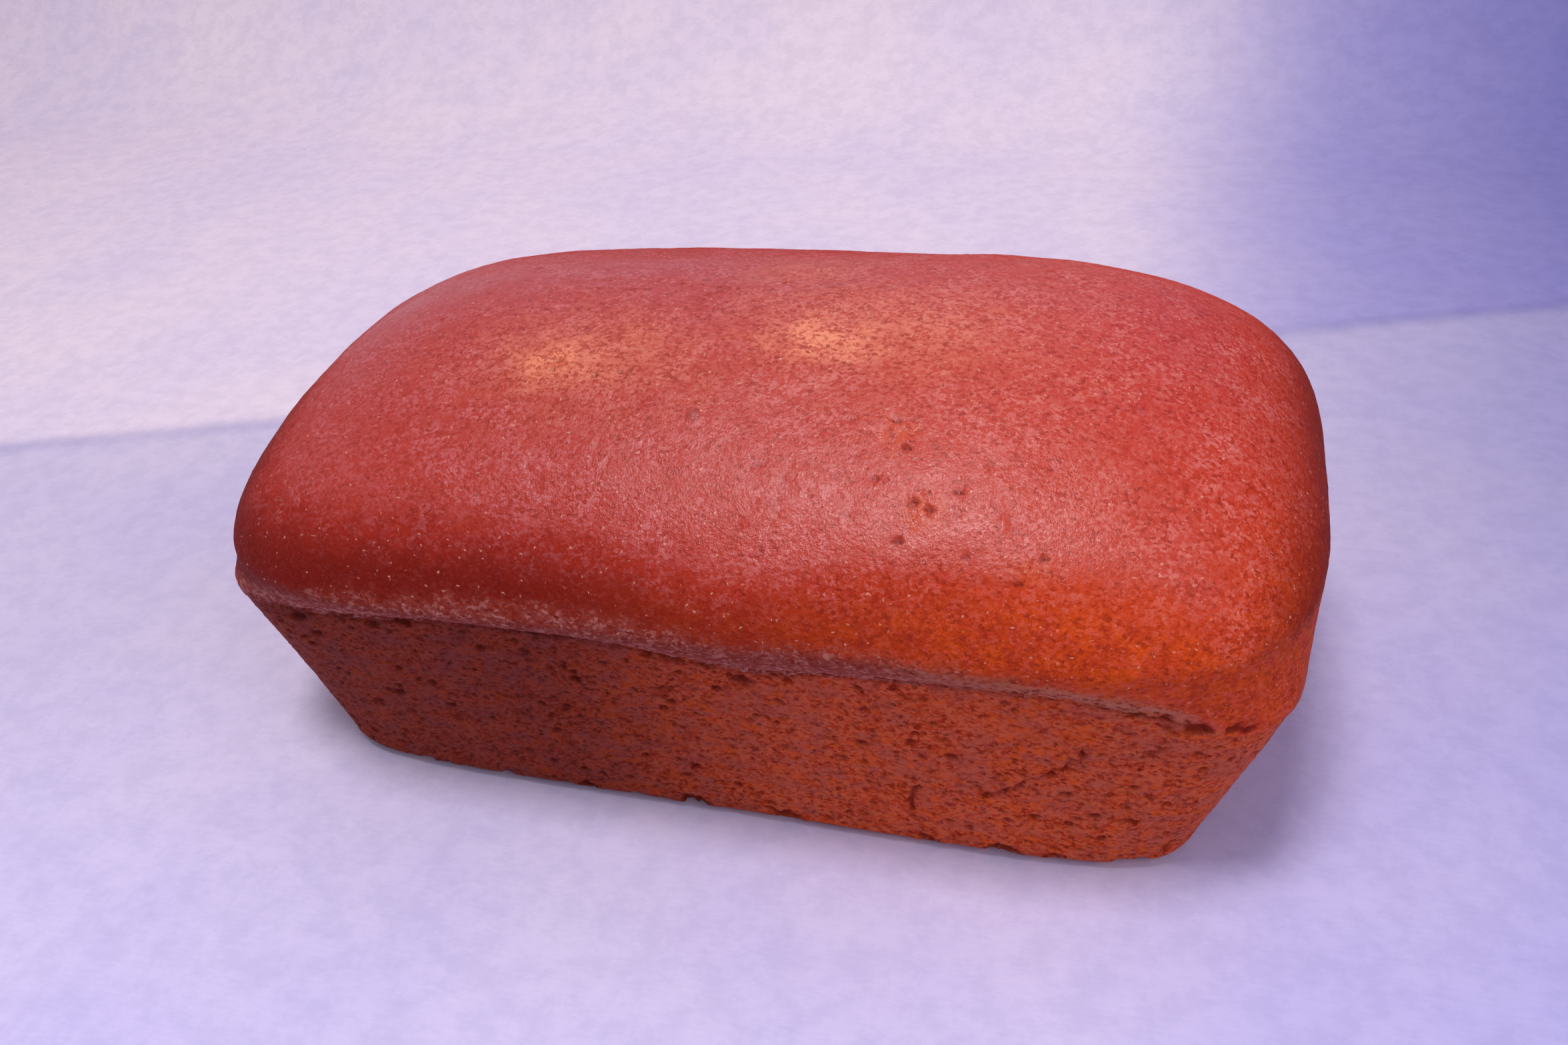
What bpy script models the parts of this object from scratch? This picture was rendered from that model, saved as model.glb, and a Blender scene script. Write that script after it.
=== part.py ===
"""A whole tin loaf of brown bread, in metres, standing on z = 0 with its length along X.

Below the rim the dough took the tapered shape of its tin. Above the rim it rose over the edge, leaving a
lip, and set as a long domed crust. Pores, cracks and torn holes in the crust are cut into the one solid.
"""

import math
import random

import bmesh
import bpy
import numpy as np
from mathutils import Matrix, Vector, noise
from mathutils.bvhtree import BVHTree

MM = 0.001

# Below the rim: a tapered box with rounded corners, as the tin left it.
BASE_LENGTH = 209.0 * MM
BASE_WIDTH = 123.5 * MM
RIM_HEIGHT = 53.5 * MM
END_SLOPE = 0.31
SIDE_SLOPE = 0.14
BASE_POWER = 8.6
RIM_POWER = 6.9
BASE_EDGE_RADIUS = 4.0 * MM
BASE_EDGE_ANGLES = np.radians((0.0, 30.0, 60.0))
SIDE_HOLLOW = 2.2 * MM

# Above the rim: the dough's widest line, then a dome up to the crown.
LOAF_LENGTH = 248.0 * MM
LOAF_WIDTH = 149.5 * MM
BULGE_HEIGHT = 64.5 * MM
LOAF_HEIGHT = 103.0 * MM
BULGE_POWER_X = 6.0
BULGE_POWER_Y = 3.0
CROWN_POWER_X = 3.9
CROWN_POWER_Y = 1.85
DOME_POWER = 1.55
DOME_TILT = 0.02
LAST_DOME_ANGLE = math.radians(86)

# The lip where the dough rolled over the rim of the tin.
LIP_OUT_FRONT = 1.6 * MM
LIP_OUT_BACK = 1.1 * MM
LIP_THICKNESS = 1.7 * MM
LIP_GROOVE = 0.9 * MM
LIP_REACH = 104.0 * MM
LIP_FADES_FROM = 0.72
LIP_FACING = (0.82, 0.98)
LIP_LEFT_SHARE = 0.25
LIP_GROWS = (5.0 * MM, 45.0 * MM)

# Each ring of the lip, in lip thicknesses above the rim: its height where there is no lip, and what the
# lip's strength adds to that.
GROOVE_HEIGHT = (-0.55, 0.3)
LIP_EDGE_HEIGHT = (-0.1, -0.25)
LIP_TOP_HEIGHT = (0.35, 0.0)
LIP_EDGE_SHARE = 0.75

# How far the lip's line strays from the rim's height: (x, rise) along the front, a wave along the back.
FRONT_LINE = (
    (-108.0 * MM, -1.5 * MM),
    (-72.0 * MM, 1.4 * MM),
    (-49.0 * MM, 2.2 * MM),
    (-27.0 * MM, 2.6 * MM),
    (-12.0 * MM, 1.7 * MM),
    (-5.0 * MM, 0.5 * MM),
    (13.0 * MM, -1.2 * MM),
    (25.0 * MM, 0.6 * MM),
    (40.0 * MM, 2.7 * MM),
    (62.0 * MM, 3.6 * MM),
    (78.0 * MM, 3.3 * MM),
    (94.0 * MM, 0.6 * MM),
    (102.0 * MM, -3.6 * MM),
    (110.0 * MM, -5.0 * MM),
)
BACK_LINE_RISE = 1.1 * MM
BACK_LINE_WAVE = 61.0 * MM
LINES_MEET = 0.3 * BASE_WIDTH

# Unevenness of the dough: long swells, and shorter lumps.
SWELL_LENGTH = 46.0 * MM
SWELL_HEIGHT = 0.9 * MM
LUMP_LENGTH = 13.0 * MM
LUMP_HEIGHT = 0.28 * MM
LUMP_OFFSET = Vector((7.0, 3.0, 5.0))
FLAT_UNDER = 1e-6

# The grid of the loft.
QUARTER_COLUMNS = 24
SIDE_RINGS = 9
LIP_TO_BULGE_RINGS = 4
DOME_RINGS = 15
FINE_STEPS = 400

# Pores that the tin's wall left open on all four sides.
PORE_SEED = 11
PORE_COUNT = 84
PORE_RADIUS = (0.9 * MM, 1.7 * MM)
PORE_LONG = 1.5
PORE_DEPTH = 1.0
PORE_SPACING = 7.0 * MM
PORE_HEIGHTS = (0.14, 0.9)
PORE_AIM = 0.62 * BASE_LENGTH / 2
PORE_LEVEL = 0.2

# Torn holes that stand out, as (x, z, radius) on the front side.
FRONT_HOLES = (
    (100.8 * MM, 50.1 * MM, 1.9 * MM),
    (108.4 * MM, 49.2 * MM, 1.6 * MM),
    (54.1 * MM, 33.4 * MM, 1.4 * MM),
    (34.9 * MM, 33.4 * MM, 1.2 * MM),
    (83.2 * MM, 19.1 * MM, 1.3 * MM),
    (77.5 * MM, 25.1 * MM, 1.3 * MM),
    (90.3 * MM, 29.7 * MM, 1.1 * MM),
    (92.7 * MM, 41.9 * MM, 1.1 * MM),
    (10.8 * MM, 48.6 * MM, 1.8 * MM),
    (-6.8 * MM, 38.2 * MM, 1.2 * MM),
    (-93.4 * MM, 50.4 * MM, 1.6 * MM),
    (-90.9 * MM, 45.3 * MM, 1.4 * MM),
    (35.5 * MM, 50.4 * MM, 1.1 * MM),
)

# Pits in the domed crust, as (x, y, radius) seen from above.
CROWN_PITS = (
    (53.4 * MM, -51.3 * MM, 1.1 * MM),
    (48.6 * MM, -55.1 * MM, 1.3 * MM),
    (43.8 * MM, -60.7 * MM, 1.2 * MM),
    (70.6 * MM, -60.5 * MM, 1.1 * MM),
    (66.3 * MM, -64.9 * MM, 1.1 * MM),
    (56.1 * MM, -62.2 * MM, 0.9 * MM),
    (-36.5 * MM, -27.8 * MM, 0.8 * MM),
    (-14.4 * MM, -33.4 * MM, 0.8 * MM),
    (42.0 * MM, -43.5 * MM, 1.4 * MM),
    (-58.0 * MM, 24.0 * MM, 0.9 * MM),
    (18.0 * MM, 38.0 * MM, 1.0 * MM),
    (62.0 * MM, 21.0 * MM, 0.9 * MM),
)

# Cracks in the front side, as (x, z) along each one.
FLAP_CRACK = (
    (60.7 * MM, 21.4 * MM),
    (69.0 * MM, 28.2 * MM),
    (73.6 * MM, 31.7 * MM),
    (78.1 * MM, 35.8 * MM),
    (80.4 * MM, 38.3 * MM),
    (78.3 * MM, 40.6 * MM),
    (72.6 * MM, 45.0 * MM),
)
SHORT_CRACK = ((44.9 * MM, 13.6 * MM), (45.2 * MM, 18.4 * MM), (46.2 * MM, 22.0 * MM))
CRACK_HALF_WIDTH = 0.55 * MM
CRACK_DEPTH = 1.3 * MM
CRACK_END_SHARE = 0.35

# Edges that the cuts leave shorter than this are collapsed.
SLIVER = 0.06 * MM

# Places along the front base edge where crust broke off on leaving the tin, as (x, radius).
BASE_NOTCHES = (
    (-33.1 * MM, 1.4 * MM),
    (-6.6 * MM, 1.9 * MM),
    (16.0 * MM, 1.8 * MM),
    (48.7 * MM, 1.3 * MM),
    (64.3 * MM, 1.9 * MM),
    (75.2 * MM, 1.3 * MM),
)
NOTCH_HEIGHT = 0.6 * BASE_EDGE_RADIUS

CRUST_COLOUR = (0.27, 0.075, 0.03, 1.0)
CRUST_ROUGHNESS = 0.62


def clear_scene():
    for thing in list(bpy.data.objects):
        bpy.data.objects.remove(thing, do_unlink=True)


def smooth_step(value, low, high):
    share = np.clip((value - low) / (high - low), 0.0, 1.0)
    return share * share * (3.0 - 2.0 * share)


def outline(half_x, half_y, power_x, power_y):
    """Evenly spaced points of |x / half_x| ** power_x + |y / half_y| ** power_y = 1, all the way round."""
    rise = np.linspace(0.0, 0.5 ** (1.0 / power_y), FINE_STEPS)
    run = np.linspace(0.5 ** (1.0 / power_x), 0.0, FINE_STEPS)
    x = np.concatenate([(1.0 - rise**power_y) ** (1.0 / power_x), run[1:]]) * half_x
    y = np.concatenate([rise, (1.0 - run[1:] ** power_x) ** (1.0 / power_y)]) * half_y
    travelled = np.concatenate([[0.0], np.cumsum(np.hypot(np.diff(x), np.diff(y)))])
    even = np.linspace(0.0, travelled[-1], QUARTER_COLUMNS + 1)
    x = np.interp(even, travelled, x)
    y = np.interp(even, travelled, y)
    round_x = np.concatenate([x[:-1], -x[:0:-1], -x[:-1], x[:0:-1]])
    round_y = np.concatenate([y[:-1], y[:0:-1], -y[:-1], -y[:0:-1]])
    return np.stack([round_x, round_y], axis=1)


def pushed_out(points, half_x, half_y, amount):
    """The outline's points moved outward by amount, which may differ from point to point."""
    power = RIM_POWER
    slope_x = np.sign(points[:, 0]) * np.abs(points[:, 0] / half_x) ** (power - 1.0) / half_x
    slope_y = np.sign(points[:, 1]) * np.abs(points[:, 1] / half_y) ** (power - 1.0) / half_y
    steep = np.maximum(np.hypot(slope_x, slope_y), 1e-9)
    return points + np.stack([slope_x / steep, slope_y / steep], axis=1) * np.reshape(amount, (-1, 1))


def lip_strength(points):
    """1 where the lip stands out most, 0 at the ends and corners, where the crust runs smoothly up."""
    along = 1.0 - smooth_step(np.abs(points[:, 0]), LIP_FADES_FROM * LIP_REACH, LIP_REACH)
    on_front = LIP_LEFT_SHARE + (1.0 - LIP_LEFT_SHARE) * smooth_step(points[:, 0], *LIP_GROWS)
    facing = smooth_step(np.abs(points[:, 1]) / (BASE_WIDTH / 2), *LIP_FACING)
    return along * facing * np.where(points[:, 1] < 0.0, on_front, 1.0)


def line_rise(points):
    """How far the lip's line lies above or below the rim's height at each point."""
    front = np.interp(points[:, 0], *zip(*FRONT_LINE))
    back = BACK_LINE_RISE * np.sin(2 * math.pi * points[:, 0] / BACK_LINE_WAVE)
    share = smooth_step(points[:, 1], -LINES_MEET, LINES_MEET)
    return front * (1.0 - share) + back * share


def tin_ring(height):
    """A ring of the tapered part, whose long sides pull in a little at mid-length."""
    half_x = BASE_LENGTH / 2 + END_SLOPE * height
    half_y = BASE_WIDTH / 2 + SIDE_SLOPE * height
    power = BASE_POWER + (RIM_POWER - BASE_POWER) * height / RIM_HEIGHT
    points = outline(half_x, half_y, power, power)
    hollow = SIDE_HOLLOW * height / RIM_HEIGHT * (1.0 - (points[:, 0] / half_x) ** 2)
    points[:, 1] *= 1.0 - hollow / half_y
    return points, half_x, half_y


def base_rings():
    """The flat underside's rim and the rounded edge above it."""
    rings = []
    for angle in BASE_EDGE_ANGLES:
        height = BASE_EDGE_RADIUS * (1.0 - math.cos(angle))
        points, half_x, half_y = tin_ring(height)
        inward = -BASE_EDGE_RADIUS * (1.0 - math.sin(angle))
        points = pushed_out(points, half_x, half_y, inward)
        rings.append(np.column_stack([points, np.full(len(points), height)]))
    return rings


def side_rings():
    """The walls that lay against the tin, up to just under the lip."""
    rings = []
    for share in np.linspace(0.0, 1.0, SIDE_RINGS):
        height = BASE_EDGE_RADIUS + share * (RIM_HEIGHT - LIP_THICKNESS - BASE_EDGE_RADIUS)
        points = tin_ring(height)[0]
        z = height + share * line_rise(points)
        rings.append(np.column_stack([points, z]))
    return rings


def lip_rings():
    """The groove under the lip, the lip's edge and its rounded top."""
    points, half_x, half_y = tin_ring(RIM_HEIGHT)
    strength = lip_strength(points)
    out = strength * np.where(points[:, 1] < 0.0, LIP_OUT_FRONT, LIP_OUT_BACK)
    rings = []
    for sideways, (plain, added) in (
        (-LIP_GROOVE * strength, GROOVE_HEIGHT),
        (LIP_EDGE_SHARE * out, LIP_EDGE_HEIGHT),
        (out, LIP_TOP_HEIGHT),
    ):
        moved = pushed_out(points, half_x, half_y, sideways)
        z = RIM_HEIGHT + (plain + added * strength) * LIP_THICKNESS + line_rise(points)
        rings.append(np.column_stack([moved, z]))
    return rings


def underside_rings(lip_top):
    """The pale band that turns out from the lip to the widest line."""
    widest = bulge_ring()
    rings = []
    for share in np.linspace(0.0, 1.0, LIP_TO_BULGE_RINGS + 1)[1:-1]:
        turned = math.sin(share * math.pi / 2)
        flat = lip_top[:, :2] * (1.0 - turned) + widest[:, :2] * turned
        z = lip_top[:, 2] * (1.0 - share) + widest[:, 2] * share
        rings.append(np.column_stack([flat, z]))
    return rings


def dome_ring(angle):
    """A level line of the dome: angle 0 is the widest line, a quarter turn is the crown."""
    level = math.cos(angle) ** CROWN_POWER_Y
    climb = (1.0 - level) ** (1.0 / DOME_POWER)
    half_x = LOAF_LENGTH / 2 * level ** (1.0 / CROWN_POWER_X)
    half_y = LOAF_WIDTH / 2 * level ** (1.0 / CROWN_POWER_Y)
    power_x = BULGE_POWER_X + (CROWN_POWER_X - BULGE_POWER_X) * climb
    power_y = BULGE_POWER_Y + (CROWN_POWER_Y - BULGE_POWER_Y) * climb
    points = outline(half_x, half_y, power_x, power_y)
    height = BULGE_HEIGHT + (LOAF_HEIGHT - BULGE_HEIGHT) * climb
    return np.column_stack([points, height + DOME_TILT * points[:, 0]])


def bulge_ring():
    return dome_ring(0.0)


def loaf_rings():
    rings = base_rings() + side_rings() + lip_rings()
    rings += underside_rings(rings[-1])
    rings += [dome_ring(angle) for angle in np.linspace(0.0, LAST_DOME_ANGLE, DOME_RINGS)]
    return rings


def underside_faces(body, ring):
    """The flat underside, as a fan from its middle."""
    middle = body.verts.new((0.0, 0.0, 0.0))
    return [(ring[here], middle, ring[(here + 1) % len(ring)]) for here in range(len(ring))]


def crown_faces(ring):
    """Faces across the last ring, joining each column to the one straight across the ridge."""
    last = len(ring)
    half = last // 2
    faces = [(ring[0], ring[1], ring[last - 1]), (ring[half - 1], ring[half], ring[half + 1])]
    for step in range(1, half - 1):
        faces.append((ring[step], ring[step + 1], ring[last - step - 1], ring[last - step]))
    return faces


def loft(rings):
    """A closed bmesh through the rings, bottom to top."""
    body = bmesh.new()
    rows = [[body.verts.new(point) for point in ring.tolist()] for ring in rings]
    for low, high in zip(rows, rows[1:]):
        for here in range(len(low)):
            beside = (here + 1) % len(low)
            body.faces.new((low[here], low[beside], high[beside], high[here]))
    for face in underside_faces(body, rows[0]) + crown_faces(rows[-1]):
        body.faces.new(face)
    body.normal_update()
    return body


def triangulate(body):
    bmesh.ops.triangulate(body, faces=body.faces, quad_method="SHORT_EDGE")


def roughen(body):
    """Moves the skin in and out by the dough's swells and lumps. The flat underside stays flat."""
    moves = []
    for vertex in body.verts:
        place = vertex.co
        swell = SWELL_HEIGHT * noise.noise(place / SWELL_LENGTH)
        lump = LUMP_HEIGHT * noise.noise(place / LUMP_LENGTH + LUMP_OFFSET)
        free = min(place.z / (2 * BASE_EDGE_RADIUS), 1.0)
        moves.append(vertex.normal * (swell + lump) * free)
    for vertex, move in zip(body.verts, moves):
        if vertex.co.z > FLAT_UNDER:
            vertex.co += move


def centre(body):
    """Puts the origin under the middle of the loaf's box, on the surface it stands on."""
    places = np.array([vertex.co for vertex in body.verts])
    low = places.min(axis=0)
    high = places.max(axis=0)
    shift = Vector((-(low[0] + high[0]) / 2, -(low[1] + high[1]) / 2, -low[2]))
    bmesh.ops.translate(body, verts=body.verts, vec=shift)


def skin_at(surface, start, towards):
    """Where a straight line from start first meets the loaf's skin, and the skin's normal there."""
    place, normal, _, _ = surface.ray_cast(start, towards)
    return place, normal


def pore_matrix(place, normal, radius):
    """Stands a unit ball on the skin, long sideways, low upwards and PORE_DEPTH deep."""
    sideways = normal.cross(Vector((0.0, 0.0, 1.0)))
    if sideways.length < PORE_LEVEL:
        sideways = Vector((1.0, 0.0, 0.0))
    sideways.normalize()
    upward = sideways.cross(normal).normalized()
    turn = Matrix((sideways, normal, upward)).transposed().to_4x4()
    size = Matrix.Diagonal((PORE_LONG * radius, PORE_DEPTH * radius, radius, 1.0))
    return Matrix.Translation(place) @ turn @ size


def add_pore(cutters, place, normal, radius):
    bmesh.ops.create_icosphere(cutters, subdivisions=1, radius=1.0, matrix=pore_matrix(place, normal, radius))


def named_pores(surface):
    """The holes and pits that stand out, each as its place on the skin, its normal and its radius."""
    found = []
    for x, z, radius in FRONT_HOLES + tuple((x, NOTCH_HEIGHT, radius) for x, radius in BASE_NOTCHES):
        found.append((*skin_at(surface, Vector((x, -LOAF_WIDTH, z)), Vector((0, 1, 0))), radius))
    for x, y, radius in CROWN_PITS:
        found.append((*skin_at(surface, Vector((x, y, 2 * LOAF_HEIGHT)), Vector((0, 0, -1))), radius))
    return found


def crack_places():
    return [Vector((x, -LOAF_WIDTH / 2, z)) for x, z in FLAP_CRACK + SHORT_CRACK]


def scattered_pores(surface, taken):
    """Seeded pores on the four walls, kept apart from each other and from what is there already."""
    draw = random.Random(PORE_SEED)
    kept = [place for place, _, _ in taken]
    cracks = crack_places()
    found = []
    while len(found) < PORE_COUNT:
        turn = draw.uniform(0.0, 2 * math.pi)
        height = draw.uniform(*PORE_HEIGHTS) * RIM_HEIGHT
        radius = draw.uniform(*PORE_RADIUS)
        middle = Vector((PORE_AIM * math.cos(turn), 0.0, height))
        towards = Vector((math.cos(turn), math.sin(turn), 0.0))
        place, normal = skin_at(surface, middle, towards)
        near = [other for other in kept if (other - place).length < PORE_SPACING]
        on_crack = [other for other in cracks if math.hypot(other.x - place.x, other.z - place.z) < PORE_SPACING]
        if near or (on_crack and place.y < 0.0):
            continue
        kept.append(place)
        found.append((place, normal, radius))
    return found


def add_crack(cutters, surface, route):
    """A thin wedge along a route on the front side, sharp at both ends and at its bottom."""
    rows = []
    ends = len(route) - 1
    for step, (x, z) in enumerate(route):
        place, normal = skin_at(surface, Vector((x, -LOAF_WIDTH, z)), Vector((0, 1, 0)))
        before = Vector(route[max(step - 1, 0)])
        after = Vector(route[min(step + 1, ends)])
        along = (after - before).normalized()
        across = Vector((-along.y, 0.0, along.x))
        taper = CRACK_END_SHARE if step in (0, ends) else 1.0
        wide = across * CRACK_HALF_WIDTH * taper
        out = normal * CRACK_DEPTH * taper
        rows.append([cutters.verts.new(place + offset) for offset in (wide, out, -wide, -out)])
    for low, high in zip(rows, rows[1:]):
        for here in range(4):
            beside = (here + 1) % 4
            cutters.faces.new((low[here], low[beside], high[beside], high[here]))
    cutters.faces.new(rows[0][::-1])
    cutters.faces.new(rows[-1])


def object_from(body, name):
    mesh = bpy.data.meshes.new(name)
    body.to_mesh(mesh)
    body.free()
    thing = bpy.data.objects.new(name, mesh)
    bpy.context.scene.collection.objects.link(thing)
    return thing


def make_cutters(surface):
    """One hidden object that holds every pore, hole and crack to be cut."""
    cutters = bmesh.new()
    named = named_pores(surface)
    for place, normal, radius in named + scattered_pores(surface, named):
        add_pore(cutters, place, normal, radius)
    for route in (FLAP_CRACK, SHORT_CRACK):
        add_crack(cutters, surface, route)
    triangulate(cutters)
    bmesh.ops.recalc_face_normals(cutters, faces=cutters.faces)
    thing = object_from(cutters, "pore_cutters")
    thing.display_type = "WIRE"
    thing.hide_render = True
    return thing


def crust_material():
    material = bpy.data.materials.new("crust")
    material.use_nodes = True
    shader = material.node_tree.nodes["Principled BSDF"]
    shader.inputs["Base Color"].default_value = CRUST_COLOUR
    shader.inputs["Roughness"].default_value = CRUST_ROUGHNESS
    material.diffuse_color = CRUST_COLOUR
    return material


def apply_without_slivers(loaf):
    """Makes the cuts final, and collapses the very short edges that they leave."""
    cut_body = bmesh.new()
    cut_body.from_object(loaf, bpy.context.evaluated_depsgraph_get())
    loaf.modifiers.clear()
    triangulate(cut_body)
    bmesh.ops.dissolve_degenerate(cut_body, dist=SLIVER, edges=cut_body.edges)
    triangulate(cut_body)
    cut_body.to_mesh(loaf.data)
    cut_body.free()


def make_loaf():
    body = loft(loaf_rings())
    roughen(body)
    centre(body)
    triangulate(body)
    surface = BVHTree.FromBMesh(body)
    loaf = object_from(body, "loaf")
    loaf.data.materials.append(crust_material())
    loaf.data.shade_smooth()
    cut = loaf.modifiers.new("pores", "BOOLEAN")
    cut.operation = "DIFFERENCE"
    cut.solver = "EXACT"
    cut.object = make_cutters(surface)
    apply_without_slivers(loaf)
    return loaf


clear_scene()
make_loaf()
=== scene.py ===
import math
import random

import bpy
import numpy as np
from mathutils import Matrix, Vector, kdtree, noise


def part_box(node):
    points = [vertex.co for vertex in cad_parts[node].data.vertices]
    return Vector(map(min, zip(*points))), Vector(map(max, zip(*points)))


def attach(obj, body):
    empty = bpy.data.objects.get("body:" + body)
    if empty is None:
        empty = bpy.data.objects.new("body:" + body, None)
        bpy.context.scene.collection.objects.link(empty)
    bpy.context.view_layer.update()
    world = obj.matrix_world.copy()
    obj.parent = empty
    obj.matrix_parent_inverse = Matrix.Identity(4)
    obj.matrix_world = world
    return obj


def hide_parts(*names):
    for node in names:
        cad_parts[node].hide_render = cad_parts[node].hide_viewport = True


# The looks of a whole tin loaf of brown bread: one closed crust with its pores, cracks, lip and grain,
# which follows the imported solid's form, on a pale floor in soft light. Metres, +Z up.

MM = 0.001
UP = Vector((0.0, 0.0, 1.0))

# Below the rim: a tapered box with rounded corners, as the tin left it.
BASE_LENGTH = 209.0 * MM
BASE_WIDTH = 123.5 * MM
RIM_HEIGHT = 53.5 * MM
END_SLOPE = 0.31
SIDE_SLOPE = 0.14
BASE_POWER = 8.6
RIM_POWER = 6.9
BASE_EDGE_RADIUS = 4.0 * MM
SIDE_HOLLOW = 2.2 * MM

# Above the rim: the dough's widest line, then a dome up to the crown.
LOAF_LENGTH = 248.0 * MM
LOAF_WIDTH = 149.5 * MM
BULGE_HEIGHT = 64.5 * MM
LOAF_HEIGHT = 103.0 * MM
BULGE_POWER_X = 6.0
BULGE_POWER_Y = 3.0
CROWN_POWER_X = 3.9
CROWN_POWER_Y = 1.85
DOME_POWER = 1.55
DOME_TILT = 0.02
LAST_DOME_ANGLE = math.radians(89.3)

# The lip where the dough rolled over the rim of the tin.
LIP_OUT_FRONT = 1.6 * MM
LIP_OUT_BACK = 1.1 * MM
LIP_THICKNESS = 1.7 * MM
LIP_GROOVE = 0.9 * MM
LIP_REACH = 104.0 * MM
LIP_FADES_FROM = 0.72
LIP_FACING = (0.82, 0.98)
LIP_LEFT_SHARE = 0.14
LIP_GROWS = (5.0 * MM, 45.0 * MM)

# Each ring of the lip, in lip thicknesses above the rim: its height where there is no lip, and what the
# lip's strength adds to that.
GROOVE_HEIGHT = (-0.55, 0.3)
LIP_EDGE_HEIGHT = (-0.1, -0.25)
LIP_TOP_HEIGHT = (0.35, 0.0)
LIP_EDGE_SHARE = 0.75

# How far the lip's line strays from the rim's height: (x, rise) along the front, a wave along the back.
FRONT_LINE = (
    (-108.0 * MM, -1.5 * MM),
    (-72.0 * MM, 1.4 * MM),
    (-49.0 * MM, 2.2 * MM),
    (-27.0 * MM, 2.6 * MM),
    (-12.0 * MM, 1.7 * MM),
    (-5.0 * MM, 0.5 * MM),
    (13.0 * MM, -1.2 * MM),
    (25.0 * MM, 0.6 * MM),
    (40.0 * MM, 2.7 * MM),
    (62.0 * MM, 3.6 * MM),
    (78.0 * MM, 3.3 * MM),
    (94.0 * MM, 0.6 * MM),
    (102.0 * MM, -3.6 * MM),
    (110.0 * MM, -5.0 * MM),
)
BACK_LINE_RISE = 1.1 * MM
BACK_LINE_WAVE = 61.0 * MM
LINES_MEET = 0.3 * BASE_WIDTH

# Unevenness of the dough: long swells, and shorter lumps.
SWELL_LENGTH = 46.0 * MM
SWELL_HEIGHT = 0.9 * MM
LUMP_LENGTH = 13.0 * MM
LUMP_HEIGHT = 0.28 * MM
LUMP_OFFSET = (7.0, 3.0, 5.0)

# The fine grid of the loft, before it is thinned out.
QUARTER_COLUMNS = 260
FINE_STEPS = 2400
UNDERSIDE_RINGS = 40
EDGE_RINGS = 9
SIDE_RINGS = 92
LIP_RINGS = 5
BAND_RINGS = 16
DOME_RINGS = 150
TRIANGLES = 196000

# Pores that the tin's wall left open on the four sides.
PORE_SEED = 5
SIDE_PORES = 7600
PORE_HALF_LENGTH = (0.50 * MM, 0.42)
PORE_LENGTH_LIMITS = (0.35 * MM, 1.6 * MM)
PORE_FLATNESS = (0.42, 0.8)
PORE_DEPTH = (0.6, 1.1)
UNDERSIDE_PORES = 900
DOME_PITS = 420
DOME_PIT_RADIUS = (0.25 * MM, 0.6 * MM)
LINE_PITS = 170
LINE_PITS_REACH = (-101.0 * MM, 100.0 * MM)

# Torn holes that stand out, as (x, z, radius) on the front side.
FRONT_HOLES = (
    (100.8 * MM, 50.1 * MM, 1.9 * MM),
    (107.0 * MM, 49.6 * MM, 1.3 * MM),
    (109.6 * MM, 48.8 * MM, 1.1 * MM),
    (54.1 * MM, 33.4 * MM, 1.2 * MM),
    (34.9 * MM, 33.4 * MM, 1.1 * MM),
    (83.2 * MM, 19.1 * MM, 1.1 * MM),
    (77.5 * MM, 25.1 * MM, 1.1 * MM),
    (77.8 * MM, 15.2 * MM, 0.9 * MM),
    (90.3 * MM, 29.7 * MM, 0.9 * MM),
    (92.7 * MM, 41.9 * MM, 0.9 * MM),
    (10.8 * MM, 48.6 * MM, 1.7 * MM),
    (-6.8 * MM, 38.2 * MM, 1.1 * MM),
    (-93.4 * MM, 50.4 * MM, 1.4 * MM),
    (-90.9 * MM, 45.3 * MM, 1.2 * MM),
    (35.5 * MM, 50.4 * MM, 0.9 * MM),
    (99.8 * MM, 53.9 * MM, 0.7 * MM),
    (-29.0 * MM, 54.6 * MM, 1.0 * MM),
    (-8.7 * MM, 53.2 * MM, 1.2 * MM),
    (-2.7 * MM, 52.4 * MM, 1.1 * MM),
    (3.6 * MM, 51.6 * MM, 1.0 * MM),
)

# Pits in the domed crust, as (x, y, radius) seen from above.
CROWN_PITS = (
    (53.4 * MM, -51.3 * MM, 0.76 * MM),
    (48.6 * MM, -55.1 * MM, 0.85 * MM),
    (45.8 * MM, -54.2 * MM, 0.68 * MM),
    (43.8 * MM, -60.7 * MM, 0.94 * MM),
    (70.6 * MM, -60.5 * MM, 0.76 * MM),
    (66.3 * MM, -64.9 * MM, 0.85 * MM),
    (56.1 * MM, -62.2 * MM, 0.60 * MM),
    (94.9 * MM, -68.2 * MM, 0.68 * MM),
    (37.3 * MM, -50.3 * MM, 0.60 * MM),
    (-36.5 * MM, -27.8 * MM, 0.68 * MM),
    (-26.7 * MM, -31.8 * MM, 0.60 * MM),
    (-21.3 * MM, -30.8 * MM, 0.51 * MM),
    (-19.8 * MM, -29.9 * MM, 0.60 * MM),
    (-14.4 * MM, -33.4 * MM, 0.51 * MM),
    (-11.5 * MM, -21.5 * MM, 0.51 * MM),
    (-3.2 * MM, -30.0 * MM, 0.43 * MM),
    (77.9 * MM, -24.5 * MM, 0.51 * MM),
    (42.0 * MM, -43.5 * MM, 0.85 * MM),
    (39.0 * MM, -38.0 * MM, 0.76 * MM),
    (-58.0 * MM, 24.0 * MM, 0.51 * MM),
    (18.0 * MM, 38.0 * MM, 0.60 * MM),
    (62.0 * MM, 21.0 * MM, 0.51 * MM),
)

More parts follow.
